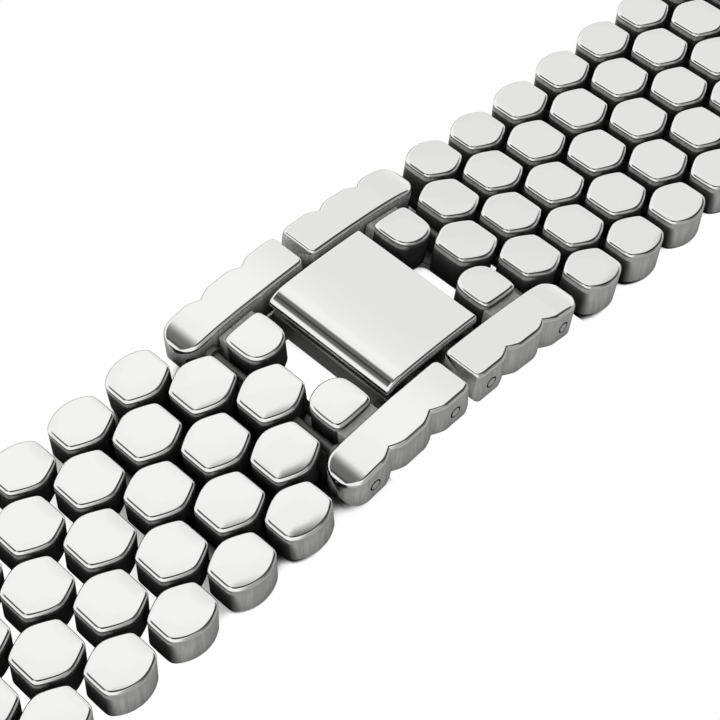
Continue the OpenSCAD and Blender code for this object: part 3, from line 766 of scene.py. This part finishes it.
def ledge_skin(outward, place):
    """The ledge beside a small link: a box with softened edges, lower than the link's face.
    Its cross section shrinks towards its middle by 0.8 of the inset at either end."""
    low, high = -LINK_T / 2 + LEDGE_LIFT, LINK_T / 2 - LEDGE_DROP
    y0, y1 = SMALL_Y + SMALL_W / 2 - LEDGE_ROOT, SMALL_Y + SMALL_W / 2 + LEDGE_W
    half = SMALL_L / 2 - LEDGE_SHORT
    box = [(y0, low), (y0, high), (y1, high), (y1, low)]
    radii = [LEDGE_ROOT_EDGE, LEDGE_ROOT_EDGE, LEDGE_EDGE, LEDGE_EDGE]
    view = rounded(box, radii, steps=3, closed=True)
    middle = view.mean(0)
    line = [(-half, LEDGE_CAP), (-half, 0), (half, 0), (half, LEDGE_CAP)]
    rings = []
    for x, inset in rounded(line, [0, LEDGE_EDGE, LEDGE_EDGE, 0], steps=3):
        drawn = middle + (view - middle) * (1 - inset * 0.8)
        rings.append(np.stack([np.full(len(drawn), x), outward * drawn[:, 0], drawn[:, 1]], -1))
    return skin(place(np.array(rings)), -0.1)


print("small links sit", SMALL_X, "mm from the clasp's middle")

# %% The links between the rails
for side, sign in SIDES.items():
    small, centre = clasp_seat(side, SMALL_X), clasp_seat(side, CENTRE_X)
    pins = [
        rod_skin(end * PITCH / 2, 0, PIN_R, -CENTRE_PIN_HALF, CENTRE_PIN_HALF, centre)
        for end in (-1, 1)
    ]
    skins = []
    for outward in (-1, 1):
        sides, tips = small_sides(outward)
        skins.append(link_skin(outward * SMALL_Y, sides, tips, small, sharp=8, sign=sign))
        skins.append(ledge_skin(outward, small))
    skins.append(pins[0])
    node = f"{side}_small_links"
    piece(f"{node}_body", skins, mirror_steel, [node])
    node = f"{side}_centre_link"
    skins = [link_skin(0, *link_sides(), centre, sign=sign), pins[1]]
    piece(f"{node}_body", skins, mirror_steel, [node])
print("a centre link sits", CENTRE_X, "mm from the clasp's middle")

# %% [markdown]
# The lid is a bent plate. Its left edge is rolled down into a lip for a fingernail, which shows as
# a soft dark band beside a bright bead. Below its top edge the lid's colour is darkened as painted
# shade, which deepens that band. Under it hang a claw that takes the fixed pin and two knuckles for
# its own hinge.

# %% The lid
LID_L, LID_R, LID_HALF, LID_T, LID_RISE = 5.2, 5.1, 6.5, 0.9, 0.1
ROLL_L, LID_DROP, LIP, LIP_L = 2.0, 0.6, 1.05, 0.6
LID_TOP_EDGE, LID_EDGE, LID_CORNER = 0.24, 0.1, 0.15


def lid_polish(y, below):
    """Mirror on top and over the edge, then ground and darkened as painted shade, whatever the
    distance y.
    """
    return np.interp(below, [0.22, 0.35], [1.0, -0.6])


lid_x = -stations(-LID_R, LID_L, LID_EDGE, ROLL_L, 30)[::-1]
room = lid_x + LID_L
roll = LID_DROP * (np.clip(ROLL_L - room, 0, ROLL_L) / ROLL_L) ** 3
top = -LID_RISE + roll + quarter(LID_R - lid_x, LID_EDGE)
foot = np.where(room < LIP_L, LIP, LID_T - LID_RISE)
foot = foot - quarter(LID_R - lid_x, LID_EDGE) - quarter(room, LID_EDGE)
wide = LID_HALF - quarter(room, LID_CORNER)
plate = loft_skin(
    lid_x, -wide, wide, top, foot, LID_TOP_EDGE, LID_EDGE,
    steps=4, top_points=9, polish_and_shade=lid_polish,
)
print("lid has", len(lid_x), "stations")

# %% The lid's claw and knuckles
LID_PIN_X, LID_PIN_DEPTH, KNUCKLE_R = 4.3, 1.5, 0.65
CLAW_T, CLAW_HALF, CLAW_PLAY = 0.45, 1.5, 0.15
KNUCKLES = ((-4.9, -3.4), (3.4, 4.9))
FINGER_TOP = 0.6


def finger_skin(x, half_l, y0, y1, reach):
    """A square finger that hangs under the lid down to a depth called reach."""
    spots = np.array([x - half_l, x - half_l + 0.04, x + half_l - 0.04, x + half_l])
    lines = [value * np.ones(4) for value in (y0, y1, FINGER_TOP, reach)]
    return loft_skin(spots, *lines, 0.03, 0.08, steps=2, top_points=2)


def in_place(points):
    """For a piece that is drawn where it belongs."""
    return points


claw_reach = RAIL_PIN_R + CLAW_PLAY + CLAW_T / 2
hanging = []
for prong in (-1, 1):
    x = -RAIL_PIN_X[0] + prong * claw_reach
    hanging.append(finger_skin(x, CLAW_T / 2, -CLAW_HALF, CLAW_HALF, RAIL_PIN_DEPTH))
hinge_z = float(curve_z(LID_PIN_X, LID_PIN_DEPTH))
for low, high in KNUCKLES:
    hanging.append(rod_skin(LID_PIN_X, hinge_z, KNUCKLE_R, low, high, in_place, count=28))
    hanging.append(finger_skin(LID_PIN_X, KNUCKLE_R - 0.03, low, high, LID_PIN_DEPTH))
piece("lid_body", [plate] + hanging, mirror_steel, ["lid"])
print("under the lid hang", len(hanging), "forms")

# %% [markdown]
# The plates, the loose pins and the last links keep their exact solids, because their
# windows, lugs and bores are what other parts need. They only get their metals.

# %% Metals for the plates, pins and end links
plain = {node: plate_steel for node in ("base_plate", "blade")}
plain.update({node: pin_steel_painted_shade for node in ("blade_pin", "lid_pin")})
for side in SIDES:
    plain[f"{side}_end_link"] = cast_steel
    plain[f"{side}_inner_pin"] = plain[f"{side}_outer_pin"] = pin_steel_painted_shade
for node, metal in plain.items():
    mesh = frame["nodes"][node].data
    mesh.materials.clear()
    mesh.materials.append(metal)
print("plain nodes:", len(plain))

# %% [markdown]
# Polished metal is a picture of its surroundings. The studio here is a bright sky
# with a few dark flags, as a photographer hangs black card round shiny things. Each
# flag stands where a certain edge mirrors it, so that edge is drawn as a dark line
# while the faces beside it stay bright. The camera itself sees plain white behind
# the table.

# %% The surroundings
SKY_LEVEL, SKY_TINT = 0.955, (1, 1, 0.993, 1)
# Each flag: azimuth, elevation, inner and outer angle in degrees, and the light that it
# lets through. The surfaces that mirror it into the camera stand beside it.
FLAGS = (
    (-90, 90, 13, 22, 0.05),  # edges that lean towards the camera by 20 degrees
    (118, 62, 6, 14, 0.16),  # edges, noses and the lid's lip, leaning left by 23
    (137, 52, 6, 13, 0.14),  # the same where they lean left by 31
    (-8, 36, 12, 22, 0.12),  # edges over the near right flanks, by 24
    (-28, 56, 12, 24, 0.1),  # edges that lean to the near side by 23
    (-52, 34, 10, 19, 0.5),  # the near bevels, by 39
    (-60, 18, 40, 62, 0.4),  # the near bevels' steep part, by 49, and the outer walls' light
    (28, 36, 14, 26, 0.86),  # rows that fall to the right by 10, and partly the lid
)
world = bpy.data.worlds.new("studio")
bpy.context.scene.world = world
world.use_nodes = True
tree = world.node_tree
direction = tree.nodes.new("ShaderNodeTexCoord").outputs["Generated"]


def flag(light, azimuth, elevation, inner, outer, depth):
    """Darkens a round part of the sky: full inside the inner angle, none past the outer one.
    The angle to the flag's middle is told by the cosine, a dot product of two directions."""
    cosine = tree.nodes.new("ShaderNodeVectorMath")
    cosine.operation = "DOT_PRODUCT"
    cosine.inputs[1].default_value = towards(azimuth, elevation)
    tree.links.new(direction, cosine.inputs[0])
    rim, core = math.cos(math.radians(outer)), math.cos(math.radians(inner))
    level = ramp(tree, cosine.outputs["Value"], rim, core, 1.0, depth)
    level.node.interpolation_type = "SMOOTHSTEP"
    return combine(tree, "MULTIPLY", light, level)


light = SKY_LEVEL
for numbers in FLAGS:
    light = flag(light, *numbers)
seen = tree.nodes.new("ShaderNodeLightPath").outputs["Is Camera Ray"]
background = tree.nodes["Background"]
background.inputs["Color"].default_value = SKY_TINT
tree.links.new(combine(tree, "MAXIMUM", light, seen), background.inputs["Strength"])
print("flags:", len(FLAGS))

# %% [markdown]
# The table is white paper. Where it lies open the camera sees it at full white, and where links
# stand close round it, it keeps their shade; there the paper's colour is also darkened, down to
# nearly black, as painted shade. Ambient occlusion tells how open a point is: the share of the
# nearby sky that nothing hides. Under the clasp a small share is enough for white, so the clasp's
# windows look clear, except at the far rail, where only slits are left. Beyond the left rows the
# light shines through the gaps, so there the table is white all over. Where the steel mirrors the
# table, it counts as white only in small part, so that the links' walls keep their dark look.

# %% The table
# Lengths and places here are in metres, as everywhere in Blender's own space.
FLOOR_HALF, FLOOR_DROP = 0.6, 0.00005
CLASP_MIDDLE, CLASP_REACH = 0.0035, 0.0115
SLIT_MIDDLE, SLIT_REACH = 0.0082, 0.0026
CLEAR_FROM, CLEAR_TO = -0.022, -0.029
OPEN_REACH = 0.0045
# Shares of open sky at which the table starts to brighten, and at which it is white.
TABLE_OPEN, WINDOW_OPEN = (0.28, 0.42), (0.06, 0.15)
# The paper's colour where links hide it, darkened as painted shade, and where it lies open.
PAINTED_SHADE_PAPER, WHITE_PAPER = 0.02, 0.6
MIRRORED_SHARE = 0.15

floor_mesh = bpy.data.meshes.new("floor")
square = [(x * FLOOR_HALF, y * FLOOR_HALF, 0) for x, y in ((-1, -1), (1, -1), (1, 1), (-1, 1))]
floor_mesh.from_pydata(square, [], [(0, 1, 2, 3)])
floor = bpy.data.objects.new("floor", floor_mesh)
floor.location.z = -FLOOR_DROP
bpy.context.scene.collection.objects.link(floor)

paper = bpy.data.materials.new("white_table")
paper.use_nodes = True
floor_mesh.materials.append(paper)
tree = paper.node_tree
place = tree.nodes.new("ShaderNodeTexCoord")
axes = tree.nodes.new("ShaderNodeSeparateXYZ")
tree.links.new(place.outputs["Object"], axes.inputs["Vector"])
occlusion = tree.nodes.new("ShaderNodeAmbientOcclusion")
occlusion.samples = 40
occlusion.inputs["Distance"].default_value = OPEN_REACH
print("table:", 2 * FLOOR_HALF, "m wide")

# %% Where the table is bright
under_clasp = combine(tree, "COMPARE", axes.outputs["X"], CLASP_MIDDLE, CLASP_REACH)
slits = combine(tree, "COMPARE", axes.outputs["Y"], SLIT_MIDDLE, SLIT_REACH)
window = combine(tree, "SUBTRACT", under_clasp, slits, clamp=True)
shaded = ramp(tree, window, 0.0, 1.0, TABLE_OPEN[0], WINDOW_OPEN[0])
clear = ramp(tree, window, 0.0, 1.0, TABLE_OPEN[1], WINDOW_OPEN[1])
open_floor = ramp(tree, occlusion.outputs["AO"], shaded, clear, 0.0, 1.0)
open_floor.node.interpolation_type = "SMOOTHSTEP"
beyond_left = ramp(tree, axes.outputs["X"], CLEAR_FROM, CLEAR_TO, 0.0, 1.0)

shader = tree.nodes["Principled BSDF"]
shader.inputs["Roughness"].default_value = 0.9
shader.inputs["Specular IOR Level"].default_value = 0.0
# Painted shade: the paper's colour darkens where ambient occlusion finds it hidden.
tone = ramp(tree, open_floor, 0.0, 1.0, PAINTED_SHADE_PAPER, WHITE_PAPER)
tree.links.new(tone, shader.inputs["Base Color"])

path = tree.nodes.new("ShaderNodeLightPath")
white_share = 0.0
for ray, part in (
    ("Is Camera Ray", 1.0), ("Is Transmission Ray", 1.0), ("Is Glossy Ray", MIRRORED_SHARE),
):
    white_share = combine(
        tree, "MULTIPLY_ADD", path.outputs[ray], part, white_share, clamp=True
    )
lit = combine(tree, "MAXIMUM", open_floor, beyond_left)
white = tree.nodes.new("ShaderNodeEmission")
mix = tree.nodes.new("ShaderNodeMixShader")
tree.links.new(combine(tree, "MULTIPLY", white_share, lit), mix.inputs["Fac"])
tree.links.new(shader.outputs["BSDF"], mix.inputs[1])
tree.links.new(white.outputs["Emission"], mix.inputs[2])
tree.links.new(mix.outputs["Shader"], tree.nodes["Material Output"].inputs["Surface"])
print("table nodes:", len(tree.nodes))

# %% [markdown]
# The sky gives nearly all the light. One large, weak lamp stands on the far side,
# where the level faces mirror it, and lifts their gloss a little.

# %% The lamp
LAMP_AZIMUTH, LAMP_ELEVATION, LAMP_AWAY = 42, 49, 0.7
LAMP_W, LAMP_H, LAMP_WATTS = 0.5, 0.4, 0.02
softbox = bpy.data.lights.new("far_softbox", "AREA")
softbox.shape = "RECTANGLE"
softbox.size, softbox.size_y = LAMP_W, LAMP_H
softbox.energy = LAMP_WATTS
lamp = bpy.data.objects.new("far_softbox", softbox)
lamp.location = towards(LAMP_AZIMUTH, LAMP_ELEVATION) * LAMP_AWAY
lamp.rotation_euler = (-lamp.location).to_track_quat("-Z", "Y").to_euler()
bpy.context.scene.collection.objects.link(lamp)
print("lamp at", [round(v, 2) for v in lamp.location], "m")

# %% [markdown]
# The output is kept plain: standard colour, no film effects.

# %% Finish
bpy.context.scene.view_settings.view_transform = "Standard"
